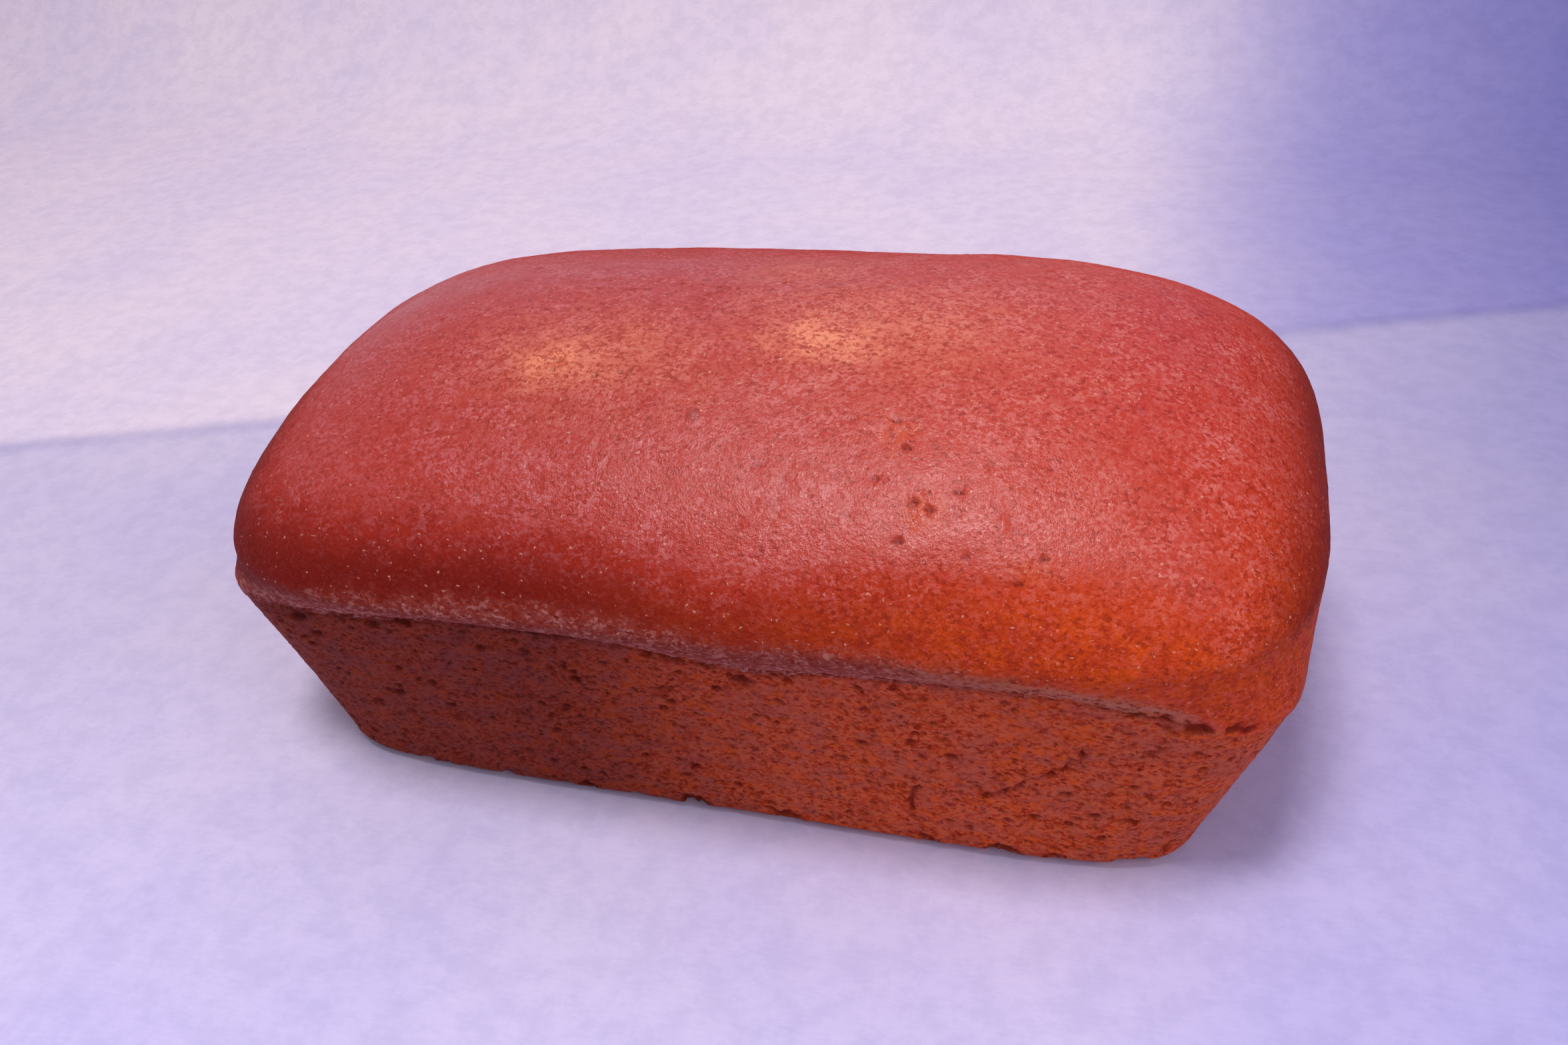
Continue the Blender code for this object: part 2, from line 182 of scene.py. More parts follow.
# Where the dome's crust is rough and pitted, as (x, y, radius, pits).
ROUGH_PATCHES = (
    (47.0 * MM, -55.0 * MM, 8.0 * MM, 26),
    (22.0 * MM, -54.0 * MM, 16.0 * MM, 40),
    (62.0 * MM, -63.0 * MM, 9.0 * MM, 16),
    (-30.0 * MM, -29.0 * MM, 12.0 * MM, 12),
)

# Places that browned less, as (x, y, half length, half width, how much).
PALE_PATCHES = (
    (-36.9 * MM, -27.5 * MM, 11.0 * MM, 8.0 * MM, 0.85),
    (-30.0 * MM, -25.0 * MM, 26.0 * MM, 13.0 * MM, 0.4),
    (21.0 * MM, -17.0 * MM, 14.0 * MM, 7.5 * MM, 1.0),
    (30.0 * MM, -12.0 * MM, 30.0 * MM, 16.0 * MM, 0.4),
    (8.0 * MM, 12.0 * MM, 12.0 * MM, 9.0 * MM, 0.3),
)

# Small places where the dome's skin tore open while it baked, as (x, y, half length, half width).
TORN_PATCHES = (
    (47.0 * MM, -55.6 * MM, 4.6 * MM, 3.6 * MM),
    (40.5 * MM, -41.0 * MM, 4.2 * MM, 3.0 * MM),
    (68.5 * MM, -62.5 * MM, 4.5 * MM, 2.2 * MM),
    (-36.6 * MM, -28.0 * MM, 2.2 * MM, 1.8 * MM),
)
TORN_HEIGHT = 0.45 * MM
BLISTER = (-2.3 * MM, -39.9 * MM)
BLISTER_RADIUS = 1.7 * MM
BLISTER_HEIGHT = 0.4 * MM

# How far the pale band reaches above the lip, as (x, reach).
BAND_REACH = (
    (-112.0 * MM, 2.0 * MM),
    (-95.0 * MM, 8.0 * MM),
    (-60.0 * MM, 10.5 * MM),
    (0.0 * MM, 12.5 * MM),
    (25.0 * MM, 12.0 * MM),
    (50.0 * MM, 9.0 * MM),
    (80.0 * MM, 5.0 * MM),
    (95.0 * MM, 2.5 * MM),
    (106.0 * MM, 0.0 * MM),
)

# Cracks in the front side, as (x, z) along each one, and how far the crust beside them stands up.
FLAP_CRACK = (
    (60.7 * MM, 21.4 * MM),
    (69.0 * MM, 28.2 * MM),
    (73.6 * MM, 31.7 * MM),
    (78.1 * MM, 35.8 * MM),
    (80.4 * MM, 38.3 * MM),
    (79.6 * MM, 40.2 * MM),
)
SHORT_CRACK = ((44.9 * MM, 13.6 * MM), (45.2 * MM, 18.4 * MM), (46.2 * MM, 22.0 * MM))
CRACK_HALF_WIDTH = 0.5 * MM
CRACK_DEPTH = 1.1 * MM
FLAP_RISE = 0.75 * MM
FLAP_FADE = 3.2 * MM

# Places along the front base edge where crust broke off on leaving the tin, as (x, radius).
BASE_NOTCHES = (
    (-33.1 * MM, 1.4 * MM),
    (-6.6 * MM, 1.9 * MM),
    (16.0 * MM, 1.8 * MM),
    (48.7 * MM, 1.3 * MM),
    (64.3 * MM, 1.9 * MM),
    (75.2 * MM, 1.3 * MM),
)
NOTCH_HEIGHT = 0.6 * BASE_EDGE_RADIUS

# The camera of the photograph, whose frame is IMAGE_WIDTH pixels across.
IMAGE_WIDTH = 2352.0
FOCAL_PIXELS = 1933.6
SENSOR_WIDTH = 36.0
CAMERA_AZIMUTH = math.radians(18.83)
CAMERA_ELEVATION = math.radians(35.77)
CAMERA_ROLL = math.radians(-5.76)
CAMERA_DISTANCE = 317.3 * MM
CAMERA_SIDEWAYS = 1.8 * MM
CAMERA_UPWARD = -8.7 * MM
CAMERA_AIM = Vector((0.0, 0.0, 50.0 * MM))


def smooth_step(value, low, high):
    share = np.clip((value - low) / (high - low), 0.0, 1.0)
    return share * share * (3.0 - 2.0 * share)


def bell(value):
    return np.exp(-value * value)


def field(places, wave, offset=(0.0, 0.0, 0.0), octaves=1):
    """Smooth noise from about -1 to 1 at each place; wave is the length of its swells, along each axis."""
    scaled = (places / np.asarray(wave) + np.asarray(offset)).tolist()
    if octaves == 1:
        return np.array([noise.noise(place) for place in scaled])
    return np.array([noise.fractal(place, 1.0, 2.0, octaves) for place in scaled])


# The smooth form: rings of points from the middle of the underside up to the crown.


def outline(half_x, half_y, power_x, power_y):
    """Evenly spaced points of |x / half_x| ** power_x + |y / half_y| ** power_y = 1, all the way round."""
    rise = np.linspace(0.0, 0.5 ** (1.0 / power_y), FINE_STEPS)
    run = np.linspace(0.5 ** (1.0 / power_x), 0.0, FINE_STEPS)
    x = np.concatenate([(1.0 - rise**power_y) ** (1.0 / power_x), run[1:]]) * half_x
    y = np.concatenate([rise, (1.0 - run[1:] ** power_x) ** (1.0 / power_y)]) * half_y
    travelled = np.concatenate([[0.0], np.cumsum(np.hypot(np.diff(x), np.diff(y)))])
    even = np.linspace(0.0, travelled[-1], QUARTER_COLUMNS + 1)
    x = np.interp(even, travelled, x)
    y = np.interp(even, travelled, y)
    round_x = np.concatenate([x[:-1], -x[:0:-1], -x[:-1], x[:0:-1]])
    round_y = np.concatenate([y[:-1], y[:0:-1], -y[:-1], -y[:0:-1]])
    return np.stack([round_x, round_y], axis=1)


def pushed_out(points, half_x, half_y, amount):
    """The outline's points moved outward by amount, which may differ from point to point."""
    slope_x = np.sign(points[:, 0]) * np.abs(points[:, 0] / half_x) ** (RIM_POWER - 1.0) / half_x
    slope_y = np.sign(points[:, 1]) * np.abs(points[:, 1] / half_y) ** (RIM_POWER - 1.0) / half_y
    steep = np.maximum(np.hypot(slope_x, slope_y), 1e-9)
    return points + np.stack([slope_x / steep, slope_y / steep], axis=1) * np.reshape(amount, (-1, 1))


def lip_strength(points):
    """1 where the lip stands out most, 0 at the ends and corners, where the crust runs smoothly up."""
    along = 1.0 - smooth_step(np.abs(points[:, 0]), LIP_FADES_FROM * LIP_REACH, LIP_REACH)
    on_front = LIP_LEFT_SHARE + (1.0 - LIP_LEFT_SHARE) * smooth_step(points[:, 0], *LIP_GROWS)
    facing = smooth_step(np.abs(points[:, 1]) / (BASE_WIDTH / 2), *LIP_FACING)
    return along * facing * np.where(points[:, 1] < 0.0, on_front, 1.0)


def line_rise(points):
    """How far the lip's line lies above or below the rim's height at each point."""
    front = np.interp(points[:, 0], *zip(*FRONT_LINE))
    back = BACK_LINE_RISE * np.sin(2 * math.pi * points[:, 0] / BACK_LINE_WAVE)
    share = smooth_step(points[:, 1], -LINES_MEET, LINES_MEET)
    return front * (1.0 - share) + back * share


def tin_ring(height):
    """A ring of the tapered part, whose long sides pull in a little at mid-length."""
    half_x = BASE_LENGTH / 2 + END_SLOPE * height
    half_y = BASE_WIDTH / 2 + SIDE_SLOPE * height
    power = BASE_POWER + (RIM_POWER - BASE_POWER) * height / RIM_HEIGHT
    points = outline(half_x, half_y, power, power)
    hollow = SIDE_HOLLOW * height / RIM_HEIGHT * (1.0 - (points[:, 0] / half_x) ** 2)
    points[:, 1] *= 1.0 - hollow / half_y
    return points, half_x, half_y


def level_ring(points, height):
    return np.column_stack([points, np.broadcast_to(height, len(points))])


def underside_rings(rim):
    """Level rings from the middle line of the flat underside out to its rim."""
    half_x, half_y = rim[:, :2].max(axis=0)
    rings = []
    for inset in np.linspace(0.985, 0.0, UNDERSIDE_RINGS, endpoint=False):
        scale = np.array([(half_x - inset * half_y) / half_x, 1.0 - inset])
        rings.append(level_ring(rim[:, :2] * scale, 0.0))
    return rings


def edge_rings():
    """The rounded edge between the underside and the walls."""
    rings = []
    for angle in np.linspace(0.0, math.pi / 2, EDGE_RINGS, endpoint=False):
        height = BASE_EDGE_RADIUS * (1.0 - math.cos(angle))
        points, half_x, half_y = tin_ring(height)
        inward = -BASE_EDGE_RADIUS * (1.0 - math.sin(angle))
        rings.append(level_ring(pushed_out(points, half_x, half_y, inward), height))
    return rings


def side_rings():
    """The walls that lay against the tin, up to just under the lip."""
    rings = []
    for share in np.linspace(0.0, 1.0, SIDE_RINGS):
        height = BASE_EDGE_RADIUS + share * (RIM_HEIGHT - LIP_THICKNESS - BASE_EDGE_RADIUS)
        points = tin_ring(height)[0]
        rings.append(level_ring(points, height + share * line_rise(points)))
    return rings


def lip_rings():
    """The groove under the lip, the lip's edge and its rounded top."""
    points, half_x, half_y = tin_ring(RIM_HEIGHT)
    strength = lip_strength(points)
    out = strength * np.where(points[:, 1] < 0.0, LIP_OUT_FRONT, LIP_OUT_BACK)
    rings = []
    for sideways, (plain, added) in (
        (-LIP_GROOVE * strength, GROOVE_HEIGHT),
        (LIP_EDGE_SHARE * out, LIP_EDGE_HEIGHT),
        (out, LIP_TOP_HEIGHT),
    ):
        moved = pushed_out(points, half_x, half_y, sideways)
        rings.append(level_ring(moved, RIM_HEIGHT + (plain + added * strength) * LIP_THICKNESS + line_rise(points)))
    return rings


def band_rings(lip_top):
    """The pale band that turns out from the lip to the widest line."""
    widest = dome_ring(0.0)
    rings = []
    for share in np.linspace(0.0, 1.0, BAND_RINGS + 1)[1:-1]:
        turned = math.sin(share * math.pi / 2)
        flat = lip_top[:, :2] * (1.0 - turned) + widest[:, :2] * turned
        rings.append(level_ring(flat, lip_top[:, 2] * (1.0 - share) + widest[:, 2] * share))
    return rings


def dome_level(angle):
    """A level of the dome: its half length, half width and share of the climb to the crown."""
    level = np.cos(angle) ** CROWN_POWER_Y
    climb = (1.0 - level) ** (1.0 / DOME_POWER)
    half_x = LOAF_LENGTH / 2 * level ** (1.0 / CROWN_POWER_X)
    half_y = LOAF_WIDTH / 2 * level ** (1.0 / CROWN_POWER_Y)
    return half_x, half_y, climb


def dome_ring(angle):
    """A level line of the dome: angle 0 is the widest line, a quarter turn is the crown."""
    half_x, half_y, climb = dome_level(angle)
    power_x = BULGE_POWER_X + (CROWN_POWER_X - BULGE_POWER_X) * climb
    power_y = BULGE_POWER_Y + (CROWN_POWER_Y - BULGE_POWER_Y) * climb
    points = outline(half_x, half_y, power_x, power_y)
    height = BULGE_HEIGHT + (LOAF_HEIGHT - BULGE_HEIGHT) * climb
    return level_ring(points, height + DOME_TILT * points[:, 0])


def dome_angles():
    """Angles of the dome's rings, spaced so that no step between rings is much longer than the others."""
    angles = np.linspace(0.0, LAST_DOME_ANGLE, FINE_STEPS)
    half_x, half_y, climb = dome_level(angles)
    height = climb * (LOAF_HEIGHT - BULGE_HEIGHT)
    steps = np.hypot(np.diff(half_x), np.diff(height)) + np.hypot(np.diff(half_y), np.diff(height))
    travelled = np.concatenate([[0.0], np.cumsum(steps)])
    return np.interp(np.linspace(0.0, travelled[-1], DOME_RINGS), travelled, angles)


def between(rings, steps):
    """The rings with steps - 1 more between each two, on a smooth curve through them."""
    rows = np.stack([rings[0], *rings, rings[-1]])
    fine = []
    for here in range(1, len(rows) - 2):
        before, start, end, after = rows[here - 1 : here + 3]
        for share in np.arange(steps) / steps:
            pull = 0.5 * ((end - before) * share + (2 * before - 5 * start + 4 * end - after) * share**2)
            pull += 0.5 * (3 * start - before - 3 * end + after) * share**3
            fine.append(start + pull)
    return fine + [rings[-1]]


def loaf_rings():
    edge = edge_rings()
    sides = side_rings()
    lip = lip_rings()
    fine_lip = between([sides[-1]] + lip, LIP_RINGS)[1:]
    rings = underside_rings(edge[0]) + edge + sides + fine_lip + band_rings(lip[-1])
    return np.stack(rings + [dome_ring(angle) for angle in dome_angles()])


def zipped_faces(first, count, flip):
    """Faces across a narrow ring, joining each column to the one straight across its middle line."""
    half = count // 2
    faces = []
    for step in range(0, half):
        ring = (step, step + 1, count - step - 1, (count - step) % count)
        corners = [first + column for column in dict.fromkeys(ring)]
        faces.append(corners[::-1] if flip else corners)
    return faces


def loft_faces(ring_count, columns):
    here = np.arange(columns)
    beside = (here + 1) % columns
    quads = []
    for ring in range(ring_count - 1):
        low = ring * columns
        high = low + columns
        quads.append(np.stack([low + here, low + beside, high + beside, high + here], axis=1))
    faces = np.concatenate(quads).tolist()
    faces += zipped_faces(0, columns, True)
    faces += zipped_faces((ring_count - 1) * columns, columns, False)
    return faces


def mesh_from(places, faces, name):
    mesh = bpy.data.meshes.new(name)
    mesh.from_pydata(places.tolist(), [], faces)
    mesh.update()
    return mesh


def places_of(mesh):
    flat = np.empty(len(mesh.vertices) * 3)
    mesh.vertices.foreach_get("co", flat)
    return flat.reshape(-1, 3)


def normals_of(mesh):
    flat = np.empty(len(mesh.vertices) * 3)
    mesh.vertex_normals.foreach_get("vector", flat)
    return flat.reshape(-1, 3)


def within_box(places, low, high):
    """The places, scaled and moved so that they just fill the box."""
    own_low = places.min(axis=0)
    own_high = places.max(axis=0)
    return low + (places - own_low) * (high - low) / (own_high - own_low)


class Crust:
    """The fine skin: its smooth places and normals, and what the relief and the finish add to each point."""

    def __init__(self, low, high):
        rings = loaf_rings()
        self.ring_count, self.columns, _ = rings.shape
        self.faces = loft_faces(self.ring_count, self.columns)
        smooth = rings.reshape(-1, 3)
        mesh = mesh_from(smooth, self.faces, "smooth_form")
        normals = normals_of(mesh)
        free = np.clip(smooth[:, 2] / (2 * BASE_EDGE_RADIUS), 0.0, 1.0)
        swell = SWELL_HEIGHT * field(smooth, SWELL_LENGTH) + LUMP_HEIGHT * field(smooth, LUMP_LENGTH, LUMP_OFFSET)
        self.places = within_box(smooth + normals * (swell * free)[:, None], low, high)
        mesh.vertices.foreach_set("co", self.places.ravel())
        mesh.update()
        self.normals = normals_of(mesh)
        bpy.data.meshes.remove(mesh)
        self.above_lip = self.places[:, 2] - RIM_HEIGHT - line_rise(self.places)
        self.zones()
        self.sink = np.zeros(len(smooth))
        self.rise = np.zeros(len(smooth))
        self.torn = np.zeros(len(smooth))
        self.burnt = np.zeros(len(smooth))
        self.tree = kdtree.KDTree(len(smooth))
        for number, place in enumerate(self.places.tolist()):
            self.tree.insert(place, number)
        self.tree.balance()
        self.ragged = field(self.places, 0.9 * MM)

    def zones(self):
        """Which part of the loaf each point is on, by its ring."""
        ring = np.repeat(np.arange(self.ring_count), self.columns)
        first_side = UNDERSIDE_RINGS + EDGE_RINGS
        first_lip = first_side + SIDE_RINGS
        self.is_under = ring < UNDERSIDE_RINGS
        self.is_side = (ring >= first_side) & (ring < first_lip)
        self.is_dome = ring >= first_lip + 3 * LIP_RINGS

    def nearest_in(self, chosen, across, along):
        """The chosen point that lies nearest to a place given by two of its coordinates."""
        numbers = np.flatnonzero(chosen)
        (first, first_value), (second, second_value) = across, along
        gaps = np.hypot(self.places[numbers, first] - first_value, self.places[numbers, second] - second_value)
        return numbers[np.argmin(gaps)]

    def on_front(self, x, z):
        return self.nearest_in((self.places[:, 1] < 0.0) & ~self.is_under & ~self.is_dome, (0, x), (2, z))

    def on_dome(self, x, y):
        return self.nearest_in(self.is_dome, (0, x), (1, y))

    def dent(self, middle, half_long, half_high, depth, raggedness=0.35, rim=0.1):
        """A bowl-shaped pit round a point, longer sideways than upward, with a slightly raised rim."""
        place = self.places[middle]
        normal = Vector(self.normals[middle])
        sideways = normal.cross(UP)
        if sideways.length < 0.2:
            sideways = Vector((1.0, 0.0, 0.0))
        sideways.normalize()
        upward = sideways.cross(normal)
        near = np.array([number for _, number, _ in self.tree.find_range(place, 1.7 * half_long)])
        offset = self.places[near] - place
        along = offset @ np.array(sideways) / half_long
        up = offset @ np.array(upward) / half_high
        reach = np.hypot(along, up) + raggedness * self.ragged[near]
        bowl = np.clip(1.0 - reach**2, 0.0, 1.0) ** 0.7
        self.sink[near] = np.maximum(self.sink[near], depth * bowl)
        self.rise[near] = np.maximum(self.rise[near], rim * depth * bell((reach - 1.2) / 0.25))


def scatter_side_pores(crust, draw):
    """Small open pores over the four walls, closer together in some places than in others."""
    walls = np.flatnonzero(crust.is_side)
    crowding = field(crust.places[walls], 9.0 * MM, (3.0, 1.0, 4.0))
    middle_size, spread = PORE_HALF_LENGTH
    made = 0
    while made < SIDE_PORES:
        pick = draw.randrange(len(walls))
        if crowding[pick] < draw.uniform(-0.7, 0.35):
            continue
        half_long = min(max(middle_size * math.exp(draw.gauss(0.0, spread)), PORE_LENGTH_LIMITS[0]), PORE_LENGTH_LIMITS[1])
        half_high = half_long * draw.uniform(*PORE_FLATNESS)
        crust.dent(walls[pick], half_long, half_high, half_high * draw.uniform(*PORE_DEPTH))
        made += 1


def scatter_underside_pores(crust, draw):
    under = np.flatnonzero(crust.is_under)
    for _ in range(UNDERSIDE_PORES):
        radius = draw.uniform(0.5 * MM, 1.3 * MM)
        crust.dent(under[draw.randrange(len(under))], radius, radius * draw.uniform(0.6, 1.0), 0.6 * radius, rim=0.0)


def scatter_dome_pits(crust, draw):
    """Fine pits all over the dome, and more of them in its rough patches."""
    dome = np.flatnonzero(crust.is_dome)
    for _ in range(DOME_PITS):
        radius = draw.uniform(*DOME_PIT_RADIUS)
        crust.dent(dome[draw.randrange(len(dome))], radius, radius * draw.uniform(0.6, 1.0), 0.55 * radius)
    for x, y, reach, count in ROUGH_PATCHES:
        for _ in range(count):
            place = crust.on_dome(draw.gauss(x, reach / 2), draw.gauss(y, reach / 3))
            radius = 0.36 * MM * math.exp(draw.gauss(0.0, 0.3))
            crust.dent(place, radius * 1.2, radius * draw.uniform(0.5, 0.9), 0.5 * radius)


def scatter_line_pits(crust, draw):
    """Ragged pits along the front of the lip's line."""
    for _ in range(LINE_PITS):
        x = draw.uniform(*LINE_PITS_REACH)
        z = RIM_HEIGHT + np.interp(x, *zip(*FRONT_LINE)) + draw.gauss(-0.4 * MM, 0.9 * MM)
        radius = 0.5 * MM * math.exp(draw.gauss(0.0, 0.35))
        crust.dent(crust.on_front(x, z), 1.5 * radius, radius, 0.8 * radius, rim=0.3)


def open_named_holes(crust):
    for x, z, radius in FRONT_HOLES:
        crust.dent(crust.on_front(x, z), 1.5 * radius, 0.9 * radius, 0.8 * radius)
    for x, radius in BASE_NOTCHES:
        crust.dent(crust.on_front(x, NOTCH_HEIGHT), 2.0 * radius, 1.5 * radius, 1.1 * radius)
    for x, y, radius in CROWN_PITS:
        crust.dent(crust.on_dome(x, y), 1.3 * radius, 0.85 * radius, 0.9 * radius)


def tear_patches(crust):
    """Ragged torn places on the dome, and one flat blister of burnt crust."""
    x, y, _ = crust.places.T
    ragged = field(crust.places, 2.4 * MM, (6.0, 2.0, 2.0), octaves=3)
    flaky = field(crust.places, 1.5 * MM, (1.0, 5.0, 9.0), octaves=3)
    for middle_x, middle_y, half_x, half_y in TORN_PATCHES:
        away = np.hypot((x - middle_x) / half_x, (y - middle_y) / half_y) + 0.5 * ragged
        inside = (1.0 - smooth_step(away, 0.6, 1.1)) * crust.is_dome
        crust.torn = np.maximum(crust.torn, inside)
        crust.rise += inside * TORN_HEIGHT * flaky
    away = np.hypot(x - BLISTER[0], y - BLISTER[1]) / BLISTER_RADIUS + 0.3 * ragged
    crust.burnt = (1.0 - smooth_step(away, 0.6, 1.0)) * crust.is_dome
    crust.rise += crust.burnt * BLISTER_HEIGHT


def beside_route(places, route):
    """Each place's distance to a route in x and z, and on which side of it the place lies."""
    flat = places[:, (0, 2)]
    nearest = np.full(len(flat), np.inf)
    side = np.zeros(len(flat))
    for start, end in zip(route, route[1:]):
        start = np.array(start)
        step = np.array(end) - start
        share = np.clip((flat - start) @ step / (step @ step), 0.0, 1.0)
        gap = flat - start - share[:, None] * step
        distance = np.hypot(gap[:, 0], gap[:, 1])
        closer = distance < nearest
        nearest[closer] = distance[closer]
        side[closer] = np.sign(step[0] * gap[closer, 1] - step[1] * gap[closer, 0])
    return nearest, side


def open_cracks(crust):
    """Tears the cracks into the front, with the crust on the left of each one curled up a little."""
    front = np.flatnonzero(crust.is_side & (crust.places[:, 1] < 0.0))
    wander = 1.1 * MM * field(crust.places[front], 2.6 * MM, (9.0, 2.0, 6.0), octaves=2)
    depth = CRACK_DEPTH * (0.45 + 0.55 * smooth_step(field(crust.places[front], 3.4 * MM, (2.0, 9.0, 9.0)), -0.4, 0.3))
    for route in (FLAP_CRACK, SHORT_CRACK):
        distance, side = beside_route(crust.places[front], route)
        distance = distance * side + wander
        groove = depth * bell(distance / CRACK_HALF_WIDTH)
        crust.sink[front] = np.maximum(crust.sink[front], groove)
        curl = FLAP_RISE * np.exp(-np.abs(distance) / FLAP_FADE) * smooth_step(distance, 0.0, CRACK_HALF_WIDTH)
        crust.rise[front] = np.maximum(crust.rise[front], curl)


def wrinkles(crust):
    """The skin's own grain: level wrinkles on the walls, a ragged base edge, a rounder grain on the dome."""
    z = crust.places[:, 2]
    on_wall = 1.0 - smooth_step(crust.above_lip, -1.0 * MM, 3.0 * MM)
    on_wall *= smooth_step(z, 0.3 * MM, 3.0 * MM)
    level_grain = field(crust.places, (2.6 * MM, 2.6 * MM, 1.1 * MM), (1.0, 8.0, 2.0), octaves=3)
    round_grain = field(crust.places, 2.2 * MM, (4.0, 4.0, 1.0), octaves=3)
    on_dome = smooth_step(crust.above_lip, 0.0, 8.0 * MM)
    near_lip = bell((crust.above_lip - 1.0 * MM) / (3.5 * MM))
    near_lip *= 1.0 - smooth_step(np.abs(crust.places[:, 0]), 90.0 * MM, 108.0 * MM)
    at_base = bell((z - 2.0 * MM) / (2.5 * MM)) * ~crust.is_under
    broken = smooth_step(field(crust.places, (7.0 * MM, 7.0 * MM, 3.0 * MM), (5.0, 5.0, 5.0), octaves=3), 0.0, 0.7)
    grain = 0.17 * MM * level_grain * on_wall + 0.085 * MM * round_grain * on_dome
    return grain + 0.42 * MM * level_grain * near_lip - 1.3 * MM * broken * at_base


def shadow_line(crust):
    """The painted shadow under the lip, deepest on the right half of the front, and a darker patch just under the line
    near its left end.
    """
    x, y, _ = crust.places.T
    uneven = 0.6 * MM * field(crust.places, 3.0 * MM, (2.0, 7.0, 1.0), octaves=2)
    line = bell((crust.above_lip + uneven + 1.3 * MM) / (0.8 * MM))
    line *= 0.35 + 0.5 * smooth_step(x, 25.0 * MM, 45.0 * MM)
    line *= 1.0 - smooth_step(x, 93.0 * MM, 101.0 * MM)
    # The left patch: a darker place just under the lip's line near the left end.
    left_patch = 0.6 * bell((crust.above_lip + 2.0 * uneven + 3.0 * MM) / (2.6 * MM)) * bell((x + 97.0 * MM) / (9.0 * MM))
    return np.maximum(line, left_patch) * (y < 0.0)


def on_end_lip(above):
    """1 just above the lip's line, where the low crust at the right end gets painted light."""
    return smooth_step(above, -1.5 * MM, 2.0 * MM) * (1.0 - smooth_step(above, 8.0 * MM, 13.0 * MM))


def finish_and_painted_light_masks(crust):
    """What the material reads at each point, from 0 to 1, by name: each kind of finish, and where shade and light are
    painted.
    """
    x, y, _ = crust.places.T
    ragged = field(crust.places, (5.0 * MM, 5.0 * MM, 2.5 * MM), (2.0, 2.0, 7.0), octaves=3)
    above = crust.above_lip + 1.8 * MM * ragged
    wall = 1.0 - smooth_step(above, -1.2 * MM, 1.2 * MM)
    reach = np.interp(x, *zip(*BAND_REACH))
    on_line = smooth_step(above, -1.6 * MM, 0.6 * MM) * smooth_step(reach, 0.0, 3.0 * MM)
    band = on_line * (1.0 - smooth_step(above, reach - 2.0 * MM, reach + 2.5 * MM))
    dust = on_line * (1.0 - smooth_step(above, 0.3 * reach, 0.3 * reach + 4.0 * MM))
    low = smooth_step(above, 0.0, 4.0 * MM) * (1.0 - smooth_step(above, 14.0 * MM, 29.0 * MM))
    at_end = smooth_step(np.abs(x), 94.0 * MM, 118.0 * MM) * smooth_step(above, -2.0 * MM, 3.0 * MM)
    low = np.maximum(low, at_end * (1.0 - smooth_step(above, 22.0 * MM, 40.0 * MM)))
    pale = np.zeros(len(above))
    uneven = 0.5 * field(crust.places, 5.0 * MM, (8.0, 1.0, 1.0), octaves=3)
    for middle_x, middle_y, half_x, half_y, amount in PALE_PATCHES:
        away = np.hypot((x - middle_x) / half_x, (y - middle_y) / half_y)
        pale = np.maximum(pale, amount * bell(np.maximum(away + uneven, 0.0)) * crust.is_dome)
    # Painted shade: the crust darker towards the left end and on the dome's right end, where less light falls.
    painted_shade = 1.0 - smooth_step(x, -40.0 * MM, 110.0 * MM)
    painted_shade = np.maximum(painted_shade, 0.75 * smooth_step(x, 103.0 * MM, 122.0 * MM) * smooth_step(above, 13.0 * MM, 20.0 * MM))
    # Painted light: the low crust at the right end, just above the lip's line, made lighter where light falls on it.
    painted_light_end = smooth_step(x, 78.0 * MM, 102.0 * MM) * on_end_lip(above)
    shine = (1.0 - smooth_step(y, -5.0 * MM, 45.0 * MM)) * (1.0 - smooth_step(np.abs(x), 85.0 * MM, 115.0 * MM))
    # pit: deeper colour in the pits, partly the crust's own and partly painted shade in them, and the painted shadow
    # under the lip.
    pit = np.maximum(np.clip(crust.sink / (0.6 * MM), 0.0, 1.0), shadow_line(crust))
    masks = {"pit": pit, "wall": wall, "band": band, "dust": dust, "low": low, "pale": pale, "painted_shade": painted_shade}
    return masks | {"torn": crust.torn, "burnt": crust.burnt, "painted_light_end": painted_light_end, "shine": shine}


def thinned(mesh, triangles):
    """The mesh with its flatter parts drawn in fewer triangles."""
    thing = bpy.data.objects.new("thinning", mesh)
    bpy.context.scene.collection.objects.link(thing)
    split = thing.modifiers.new("triangles", "TRIANGULATE")
    split.quad_method = "SHORTEST_DIAGONAL"
    thin = thing.modifiers.new("thin", "DECIMATE")
    count = sum(len(face.vertices) - 2 for face in mesh.polygons)
    thin.ratio = triangles / count
    result = bpy.data.meshes.new_from_object(thing.evaluated_get(bpy.context.evaluated_depsgraph_get()))
    bpy.data.objects.remove(thing, do_unlink=True)
    return result


def add_masks(mesh, crust, masks):
    """Gives each point of the thinned mesh the finish, and the painted shade and light, of the fine point that it came
    from.
    """
    relief = kdtree.KDTree(len(crust.places))
    for number, place in enumerate(crust.shaped.tolist()):
        relief.insert(place, number)
    relief.balance()
    source = np.array([relief.find(place)[1] for place in places_of(mesh).tolist()])
    for name, values in masks.items():
        layer = mesh.attributes.new(name, "FLOAT", "POINT")
        layer.data.foreach_set("value", values[source].astype(np.float32))


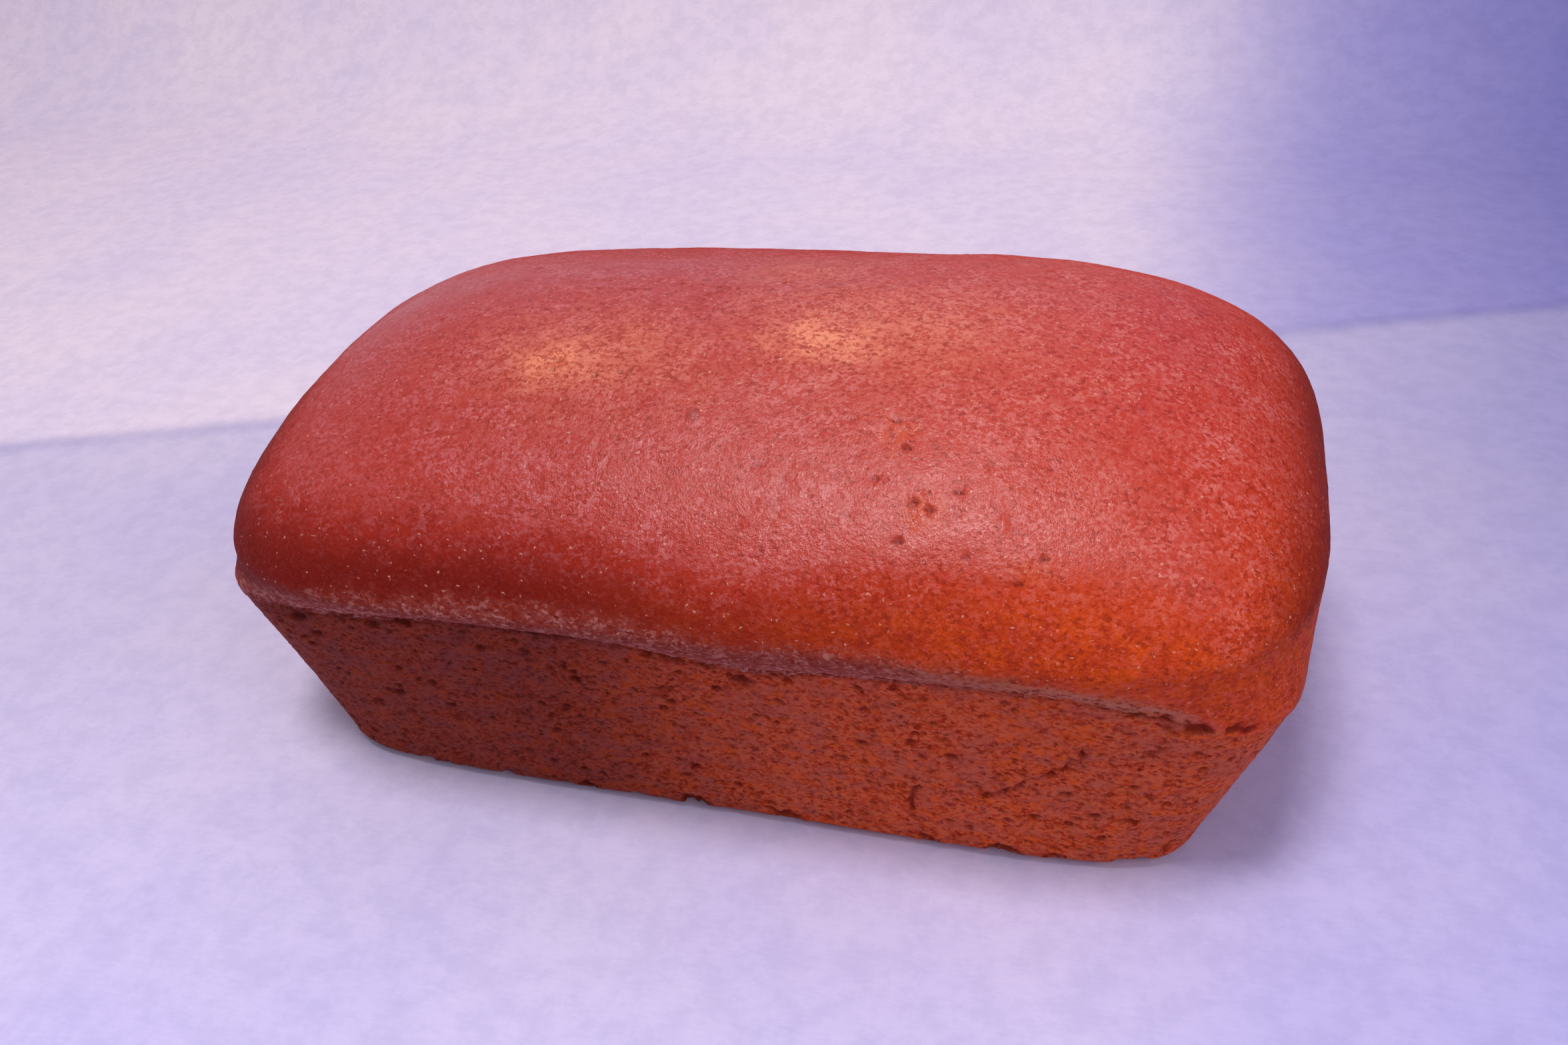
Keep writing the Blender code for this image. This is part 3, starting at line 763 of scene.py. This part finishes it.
def make_crust():
    low, high = (np.array(corner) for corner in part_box("loaf"))
    crust = Crust(low, high)
    draw = random.Random(PORE_SEED)
    scatter_side_pores(crust, draw)
    scatter_underside_pores(crust, draw)
    scatter_dome_pits(crust, draw)
    scatter_line_pits(crust, draw)
    open_named_holes(crust)
    tear_patches(crust)
    open_cracks(crust)
    move = wrinkles(crust) + crust.rise - crust.sink
    crust.shaped = crust.places + crust.normals * move[:, None]
    crust.shaped[:, 2] = np.maximum(crust.shaped[:, 2], low[2])
    fine = mesh_from(crust.shaped, crust.faces, "fine_crust")
    mesh = thinned(fine, TRIANGLES)
    bpy.data.meshes.remove(fine)
    add_masks(mesh, crust, finish_and_painted_light_masks(crust))
    mesh.vertices.foreach_set("co", within_box(places_of(mesh), low, high).ravel())
    mesh.update()
    mesh.shade_smooth()
    mesh.name = "loaf_crust"
    mesh.materials.clear()
    mesh.materials.append(crust_material())
    thing = bpy.data.objects.new("loaf_crust", mesh)
    bpy.context.scene.collection.objects.link(thing)
    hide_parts("loaf")
    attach(thing, "root")
    return thing


# Materials.


class Graph:
    """A material's nodes, added one by one."""

    def __init__(self, name):
        self.material = bpy.data.materials.new(name)
        self.material.use_nodes = True
        self.tree = self.material.node_tree
        self.shader = self.tree.nodes["Principled BSDF"]

    def put(self, socket, value):
        if isinstance(value, bpy.types.NodeSocket):
            self.tree.links.new(value, socket)
        else:
            socket.default_value = value

    def node(self, kind, settings, inputs):
        made = self.tree.nodes.new(kind)
        for name, value in settings.items():
            setattr(made, name, value)
        for name, value in inputs.items():
            self.put(made.inputs[name], value)
        return made

    def attribute(self, name):
        return self.node("ShaderNodeAttribute", {"attribute_name": name}, {}).outputs["Fac"]

    def place(self, stretch=(1.0, 1.0, 1.0)):
        """The place on the loaf in millimetres, divided by stretch along each axis."""
        source = self.node("ShaderNodeTexCoord", {}, {}).outputs["Object"]
        return self.stretched(source, [MM * length for length in stretch])

    def stretched(self, place, stretch):
        scale = [1.0 / length for length in stretch]
        return self.node("ShaderNodeMapping", {}, {"Vector": place, "Scale": scale}).outputs["Vector"]

    def noise(self, place, size, detail=3.0, roughness=0.55):
        """Noise from 0 to 1 whose blotches are about size millimetres across."""
        inputs = {"Vector": place, "Scale": 1.0 / size, "Detail": detail, "Roughness": roughness}
        return self.node("ShaderNodeTexNoise", {}, inputs).outputs["Fac"]

    def cells(self, place, size):
        """Cells about size millimetres across: the distance to each one's middle, and its random colour."""
        made = self.node("ShaderNodeTexVoronoi", {}, {"Vector": place, "Scale": 1.0 / size})
        return made.outputs["Distance"], made.outputs["Color"]

    def steps(self, value, low, high, out_low=0.0, out_high=1.0):
        """The value turned smoothly from out_low to out_high as it goes from low to high."""
        settings = {"interpolation_type": "SMOOTHSTEP"}
        inputs = {"Value": value, "From Min": low, "From Max": high, "To Min": out_low, "To Max": out_high}
        return self.node("ShaderNodeMapRange", settings, inputs).outputs["Result"]

    def math(self, operation, first, second):
        made = self.node("ShaderNodeMath", {"operation": operation}, {})
        self.put(made.inputs[0], first)
        self.put(made.inputs[1], second)
        return made.outputs["Value"]

    def mix(self, share, first, second, blend="MIX"):
        made = self.node("ShaderNodeMix", {"data_type": "RGBA", "blend_type": blend}, {})
        self.put(made.inputs["Factor"], share)
        self.put(made.inputs["A"], first if isinstance(first, bpy.types.NodeSocket) else (*first, 1.0))
        self.put(made.inputs["B"], second if isinstance(second, bpy.types.NodeSocket) else (*second, 1.0))
        return made.outputs["Result"]

    def red_of(self, colour):
        return self.node("ShaderNodeSeparateColor", {}, {"Color": colour}).outputs["Red"]


BACKDROP_WARM = (0.90, 0.80, 0.86)
BACKDROP_MIDDLE = (0.71, 0.65, 0.79)
BACKDROP_LAVENDER = (0.76, 0.71, 1.0)
BACKDROP_SHADE = (0.38, 0.41, 0.66)
# Painted shade on the back wall at the right.
BACKDROP_BLUE_SHADE = (0.60, 0.62, 0.88)
FOLD_SLOPE = 0.318
FOLD_START = 151.0
BACKDROP_COOL = (0.88, 0.89, 1.0)
BACKDROP_FIBRE = (0.86, 0.86, 0.90)
DOME_RED = (0.53, 0.049, 0.035)
DOME_ORANGE = (0.52, 0.034, 0.013)
DOME_PINK = (0.65, 0.134, 0.128)
DOME_DEEP = (0.24, 0.016, 0.010)
# Painted light and shade: the dome's colour made lighter towards the right and darker towards the left.
DOME_PAINTED_LIGHT_RIGHT = (1.18, 1.38, 1.08)
DOME_PAINTED_SHADE_LEFT = (0.92, 0.90, 0.92)
DOME_PALE = (0.96, 0.320, 0.155)
TORN_ORANGE = (0.66, 0.085, 0.022)
SCORCHED = (0.36, 0.090, 0.070)
BAND_MAUVE = (0.27, 0.045, 0.030)
LOW_ORANGE = (0.77, 0.084, 0.004)
# Painted light on the low crust at the right end.
LOW_PAINTED_LIGHT = (0.80, 0.088, 0.008)
# The band's colour where painted light falls, towards the right.
BAND_PAINTED_LIGHT = (0.50, 0.155, 0.070)
WALL_MAUVE = (0.46, 0.102, 0.068)
BRAN = (0.85, 0.40, 0.27)
# Painted shade: the low crust's colour towards the left end.
LOW_PAINTED_SHADE = (0.175, 0.006, 0.001)
WALL_RIDGE = (0.68, 0.122, 0.045)
WALL_BROWN = (0.54, 0.047, 0.008)
WALL_RUST = (0.76, 0.098, 0.009)
FLOUR = (0.55, 0.180, 0.120)
FLOUR_IN_SHADE = (0.52, 0.200, 0.165)
# The deep colour of pits and hollows, partly the crust's own and partly painted shade there, also used for the painted
# shadow under the lip.
PIT_AND_SHADE_DEEP = (0.23, 0.015, 0.004)
LEFT_SHADE = (0.40, 0.36, 0.52)


def times(graph, first, second):
    return graph.math("MULTIPLY", first, second)


def warped(graph, place):
    """The place, bent a little this way and that so that what is drawn on it has uneven edges."""
    bend = graph.node("ShaderNodeTexNoise", {}, {"Vector": place, "Scale": 1.2, "Detail": 1.0}).outputs["Color"]
    moved = graph.node("ShaderNodeVectorMath", {"operation": "ADD"}, {})
    graph.put(moved.inputs[0], bend)
    graph.put(moved.inputs[1], place)
    return moved.outputs["Vector"]


def flecks(graph, bent, stretch, size, radius, kept):
    """1 inside small scattered flecks, 0 between them; kept is the share of the cells that hold one."""
    distance, colour = graph.cells(graph.stretched(bent, stretch), size)
    inside = graph.steps(distance, radius, 0.45 * radius)
    chosen = graph.steps(graph.red_of(colour), 1.0 - kept, 1.04 - kept)
    return times(graph, inside, chosen)


def grit_and_relief_shading(graph, bent, stretch, relief):
    """A value round 0.5 that differs from grain to grain of the crust, small and large, and with its relief; colours
    drawn from it are lighter on raised places and deeper in hollows, partly as painted light and shade.
    """
    place = graph.stretched(bent, stretch)
    small = graph.red_of(graph.cells(place, 0.62)[1])
    large = graph.red_of(graph.cells(place, 1.9)[1])
    mixed = graph.math("ADD", times(graph, small, 0.44), times(graph, large, 0.12))
    return graph.math("ADD", mixed, times(graph, relief, 0.44))


def dome_colour(graph, place, bent, grain):
    colour = graph.mix(graph.steps(grain, 0.32, 0.52), DOME_ORANGE, DOME_RED)
    patchy = graph.steps(graph.noise(place, 13.0, 4.0, 0.6), 0.60, 0.40, 0.45, 1.0)
    # Pink on the raised grains: partly grain tone, partly painted light.
    colour = graph.mix(times(graph, graph.steps(grain, 0.48, 0.72), patchy), colour, DOME_PINK)
    soft = graph.steps(graph.noise(graph.place((1.6, 1.0, 1.0)), 8.0, 5.0, 0.7), 0.44, 0.62, 0.0, 0.55)
    colour = graph.mix(soft, colour, DOME_ORANGE)
    # Painted light and shade: the dome lighter towards the right, darker towards the left.
    tint = graph.mix(graph.attribute("painted_shade"), DOME_PAINTED_LIGHT_RIGHT, DOME_PAINTED_SHADE_LEFT)
    colour = graph.mix(1.0, colour, tint, "MULTIPLY")
    paler = graph.steps(grain, 0.32, 0.64, 0.3, 1.0)
    colour = graph.mix(times(graph, graph.attribute("pale"), paler), colour, DOME_PALE)
    # The low crust: painted shade towards the left, painted light at the right end.
    low_colour = graph.mix(graph.attribute("painted_shade"), LOW_ORANGE, LOW_PAINTED_SHADE)
    low_colour = graph.mix(graph.attribute("painted_light_end"), low_colour, LOW_PAINTED_LIGHT)
    ruddy = times(graph, graph.steps(graph.noise(place, 5.0, 4.0, 0.7), 0.42, 0.60), 0.5)
    low_colour = graph.mix(ruddy, low_colour, graph.mix(graph.attribute("painted_shade"), DOME_ORANGE, LOW_PAINTED_SHADE))
    # Deeper in the hollows of the low crust: partly its own colour, partly painted shade.
    low_colour = graph.mix(graph.steps(grain, 0.62, 0.36, 0.0, 0.55), low_colour, graph.mix(0.5, low_colour, DOME_DEEP))
    # More pink on the raised grains towards the lighter right: partly grain tone, partly painted light.
    rosy = graph.steps(graph.attribute("painted_shade"), 0.7, 0.1, 0.10, 0.28)
    low_colour = graph.mix(times(graph, graph.steps(grain, 0.52, 0.76), rosy), low_colour, DOME_PINK)
    colour = graph.mix(times(graph, graph.attribute("low"), 0.98), colour, low_colour)
    torn = times(graph, graph.attribute("torn"), graph.steps(grain, 0.3, 0.6, 0.15, 0.75))
    colour = graph.mix(torn, colour, TORN_ORANGE)
    colour = graph.mix(times(graph, graph.attribute("burnt"), 0.6), colour, SCORCHED)
    # Deeper in the hollows: partly the crust's own colour, partly painted shade.
    colour = graph.mix(graph.steps(grain, 0.40, 0.22, 0.0, 0.75), colour, graph.mix(0.7, colour, DOME_DEEP))
    for stretch in ((1.7, 0.8, 0.8), (0.8, 1.5, 1.0)):
        colour = graph.mix(times(graph, flecks(graph, bent, stretch, 2.0, 0.15, 0.5), 0.6), colour, BRAN)
    return graph.mix(times(graph, flecks(graph, bent, (1.1, 0.8, 1.3), 2.4, 0.16, 0.3), 0.6), colour, DOME_DEEP)


def wall_colour(graph, grain):
    # Lighter on raised grains, browner in hollows: partly grain tone, partly painted light and shade.
    colour = graph.mix(graph.steps(grain, 0.34, 0.66), WALL_BROWN, WALL_RIDGE)
    dusty = graph.steps(graph.noise(graph.place((1.5, 1.5, 1.0)), 6.0, 5.0, 0.7), 0.44, 0.60, 0.0, 0.5)
    colour = graph.mix(dusty, colour, WALL_MAUVE)
    rust = graph.noise(graph.place((1.6, 1.6, 1.0)), 3.6, 4.0, 0.75)
    return graph.mix(graph.steps(rust, 0.52, 0.64, 0.0, 0.7), colour, WALL_RUST)


def crust_material():
    # The crust's own colours, with painted light and shade.
    graph = Graph("crust_colour_and_painted_light")
    place = graph.place()
    wall = graph.attribute("wall")
    band = graph.attribute("band")
    low = graph.attribute("low")
    off_dome = graph.math("MAXIMUM", wall, band)
    dull = graph.math("MAXIMUM", off_dome, low)
    bent = warped(graph, place)
    dome_relief = graph.noise(place, 0.95, 3.0, 0.75)
    dome_grain_and_shading = grit_and_relief_shading(graph, bent, (1.2, 1.0, 1.0), dome_relief)
    wall_relief = graph.noise(graph.place((1.25, 1.25, 0.95)), 1.3, 3.0, 0.65)
    pores, pore_kind = graph.cells(graph.place((1.5, 1.5, 0.9)), 1.5)
    is_open = graph.steps(graph.red_of(pore_kind), 0.35, 0.55)
    open_pore = times(graph, graph.steps(pores, 0.30, 0.14), is_open)
    wall_grain_and_shading = grit_and_relief_shading(graph, bent, (1.3, 1.3, 0.9), wall_relief)
    colour = graph.mix(wall, dome_colour(graph, place, bent, dome_grain_and_shading), wall_colour(graph, wall_grain_and_shading))
    # Painted light and shade: the band lighter towards the right, deeper towards the left.
    band_colour = graph.mix(graph.steps(graph.attribute("painted_shade"), 0.1, 0.5), BAND_PAINTED_LIGHT, BAND_MAUVE)
    # Deeper in the band's hollows: partly its own colour, partly painted shade.
    band_colour = graph.mix(graph.steps(wall_grain_and_shading, 0.48, 0.26, 0.0, 0.8), band_colour, PIT_AND_SHADE_DEEP)
    colour = graph.mix(times(graph, band, 0.9), colour, band_colour)
    flour = graph.mix(graph.attribute("painted_shade"), FLOUR, FLOUR_IN_SHADE)
    dusty = times(graph, graph.attribute("dust"), graph.steps(wall_grain_and_shading, 0.40, 0.72, 0.0, 0.9))
    dusty = graph.math("MAXIMUM", dusty, times(graph, band, graph.steps(wall_grain_and_shading, 0.52, 0.76, 0.0, 0.7)))
    colour = graph.mix(dusty, colour, flour)
    # Open pores, hollows and pits made deeper in colour: partly the crust's own colour, partly painted shade in them,
    # with the painted shadow under the lip in the pit mask.
    colour = graph.mix(times(graph, times(graph, open_pore, off_dome), 0.45), colour, PIT_AND_SHADE_DEEP)
    hollow = times(graph, graph.steps(wall_grain_and_shading, 0.38, 0.20, 0.0, 0.75), off_dome)
    colour = graph.mix(hollow, colour, PIT_AND_SHADE_DEEP)
    colour = graph.mix(times(graph, graph.attribute("pit"), 0.85), colour, PIT_AND_SHADE_DEEP)
    shaded = graph.mix(graph.math("POWER", graph.attribute("painted_shade"), 4.0), colour, LEFT_SHADE, "MULTIPLY")
    colour = graph.mix(wall, colour, shaded)
    graph.put(graph.shader.inputs["Base Color"], colour)
    graph.put(graph.shader.inputs["Roughness"], graph.steps(dome_relief, 0.3, 0.7, 0.75, 0.6))
    graph.put(graph.shader.inputs["Specular IOR Level"], 0.08)
    graph.put(graph.shader.inputs["Coat Weight"], times(graph, graph.steps(dull, 0.0, 0.5, 0.72, 0.0), graph.attribute("shine")))
    graph.put(graph.shader.inputs["Coat Roughness"], 0.23)
    wall_height = graph.math("SUBTRACT", times(graph, wall_relief, 1.3), times(graph, open_pore, 0.6))
    height = graph.node("ShaderNodeMix", {"data_type": "FLOAT"}, {})
    graph.put(height.inputs["Factor"], off_dome)
    graph.put(height.inputs["A"], dome_relief)
    graph.put(height.inputs["B"], wall_height)
    for socket, distance, relief in (
        ("Normal", 0.6 * MM, height.outputs["Result"]),
        ("Coat Normal", 0.22 * MM, dome_relief),
    ):
        bump = graph.node("ShaderNodeBump", {}, {"Distance": distance, "Height": relief})
        graph.put(graph.shader.inputs[socket], bump.outputs["Normal"])
    return graph.material


def cloth_material(name):
    """A pale matte backdrop, a little uneven and more lavender towards the front, with painted shade along the fold,
    towards the right and on the back wall at the right.
    """
    graph = Graph(name)
    place = graph.place()
    along = graph.node("ShaderNodeSeparateXYZ", {}, {"Vector": place}).outputs
    fold = graph.math("SUBTRACT", along["Y"], graph.math("MULTIPLY", along["X"], FOLD_SLOPE))
    beyond = graph.steps(fold, FOLD_START - 5.0, FOLD_START + 5.0)
    front = graph.steps(fold, 60.0, -160.0)
    colour = graph.mix(front, BACKDROP_MIDDLE, BACKDROP_LAVENDER)
    colour = graph.mix(beyond, colour, BACKDROP_WARM)
    # Painted shade along the fold where the floor turns up into the wall.
    crease_shade = graph.steps(graph.math("ABSOLUTE", graph.math("SUBTRACT", fold, FOLD_START), 0.0), 8.0, 0.0, 0.0, 0.3)
    colour = graph.mix(crease_shade, colour, BACKDROP_SHADE, "MULTIPLY")
    # Painted shade on the back wall towards the right.
    blue_shade = times(graph, graph.steps(along["X"], 45.0, 170.0), beyond)
    colour = graph.mix(blue_shade, colour, BACKDROP_BLUE_SHADE, "MULTIPLY")
    # Painted shade towards the right.
    right = graph.steps(along["X"], 60.0, 330.0, 0.0, 1.0)
    colour = graph.mix(right, colour, BACKDROP_SHADE, "MULTIPLY")
    cloudy = graph.steps(graph.noise(place, 90.0, 5.0, 0.6), 0.35, 0.65, 0.0, 0.6)
    colour = graph.mix(cloudy, colour, BACKDROP_COOL, "MULTIPLY")
    crumpled = graph.steps(graph.noise(place, 9.0, 6.0, 0.75), 0.40, 0.62, 0.0, 0.6)
    colour = graph.mix(crumpled, colour, BACKDROP_FIBRE, "MULTIPLY")
    fibres = graph.steps(graph.noise(graph.place((6.0, 1.0, 1.0)), 0.8, 4.0, 0.7), 0.3, 0.7, 0.0, 0.35)
    colour = graph.mix(fibres, colour, BACKDROP_FIBRE, "MULTIPLY")
    graph.put(graph.shader.inputs["Base Color"], colour)
    graph.put(graph.shader.inputs["Roughness"], 0.9)
    graph.put(graph.shader.inputs["Specular IOR Level"], 0.2)
    return graph.material

# The stage, the light and the camera.

FLOOR_HALF_WIDTH = 1.6
FLOOR_FRONT = -0.9
COVE_START = 0.35
COVE_RADIUS = 0.12
WALL_TOP = 1.1
COVE_STEPS = 16


def make_stage():
    """A floor that curves up into a plain back wall."""
    angles = np.linspace(0.0, math.pi / 2, COVE_STEPS)
    profile = [(FLOOR_FRONT, 0.0)]
    for angle in angles:
        profile.append((COVE_START + COVE_RADIUS * math.sin(angle), COVE_RADIUS * (1.0 - math.cos(angle))))
    profile.append((COVE_START + COVE_RADIUS, WALL_TOP))
    places = np.array([(side * FLOOR_HALF_WIDTH, y, z) for y, z in profile for side in (-1, 1)])
    faces = [(2 * row, 2 * row + 1, 2 * row + 3, 2 * row + 2) for row in range(len(profile) - 1)]
    mesh = mesh_from(places, faces, "backdrop")
    mesh.shade_smooth()
    mesh.materials.append(cloth_material("backdrop_cloth_and_painted_shade"))
    thing = bpy.data.objects.new("backdrop", mesh)
    bpy.context.scene.collection.objects.link(thing)


def make_camera():
    back = Vector(
        (
            math.sin(CAMERA_AZIMUTH) * math.cos(CAMERA_ELEVATION),
            -math.cos(CAMERA_AZIMUTH) * math.cos(CAMERA_ELEVATION),
            math.sin(CAMERA_ELEVATION),
        )
    )
    level_right = (-back).cross(UP).normalized()
    level_up = level_right.cross(-back)
    right = level_right * math.cos(CAMERA_ROLL) + level_up * math.sin(CAMERA_ROLL)
    up = level_up * math.cos(CAMERA_ROLL) - level_right * math.sin(CAMERA_ROLL)
    place = CAMERA_AIM + back * CAMERA_DISTANCE + right * CAMERA_SIDEWAYS + up * CAMERA_UPWARD
    data = bpy.data.cameras.new("camera")
    data.sensor_width = SENSOR_WIDTH
    data.lens = FOCAL_PIXELS / IMAGE_WIDTH * SENSOR_WIDTH
    data.clip_start = 0.01
    camera = bpy.data.objects.new("camera", data)
    camera.matrix_world = Matrix.Translation(place) @ Matrix((right, up, back)).transposed().to_4x4()
    bpy.context.scene.collection.objects.link(camera)
    bpy.context.scene.camera = camera


def area_light(name, place, aim, size, power, colour):
    data = bpy.data.lights.new(name, "AREA")
    data.shape = "DISK"
    data.size = size
    data.energy = power
    data.color = colour
    thing = bpy.data.objects.new(name, data)
    direction = Vector(aim) - Vector(place)
    thing.matrix_world = Matrix.Translation(place) @ direction.to_track_quat("-Z", "Y").to_matrix().to_4x4()
    bpy.context.scene.collection.objects.link(thing)


def make_light():
    area_light("overhead", (-0.07, -0.22, 1.2), (0.0, 0.0, 0.05), 0.34, 7.6, (1.0, 0.94, 0.99))
    area_light("fill", (0.9, -0.5, 0.8), (0.05, -0.03, 0.05), 0.7, 2.6, (0.96, 0.92, 1.0))
    world = bpy.data.worlds.new("room")
    world.use_nodes = True
    sky = world.node_tree.nodes["Background"]
    sky.inputs["Color"].default_value = (0.92, 0.88, 1.0, 1.0)
    sky.inputs["Strength"].default_value = 0.40
    bpy.context.scene.world = world
    bpy.context.scene.view_settings.view_transform = "Standard"


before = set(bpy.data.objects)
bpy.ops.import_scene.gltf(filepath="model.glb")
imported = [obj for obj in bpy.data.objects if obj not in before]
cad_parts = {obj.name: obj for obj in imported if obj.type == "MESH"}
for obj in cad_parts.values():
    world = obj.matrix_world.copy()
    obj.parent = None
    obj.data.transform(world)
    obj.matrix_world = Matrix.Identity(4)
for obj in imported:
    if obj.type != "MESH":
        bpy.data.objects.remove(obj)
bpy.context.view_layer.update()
make_crust()
make_stage()
make_camera()
make_light()
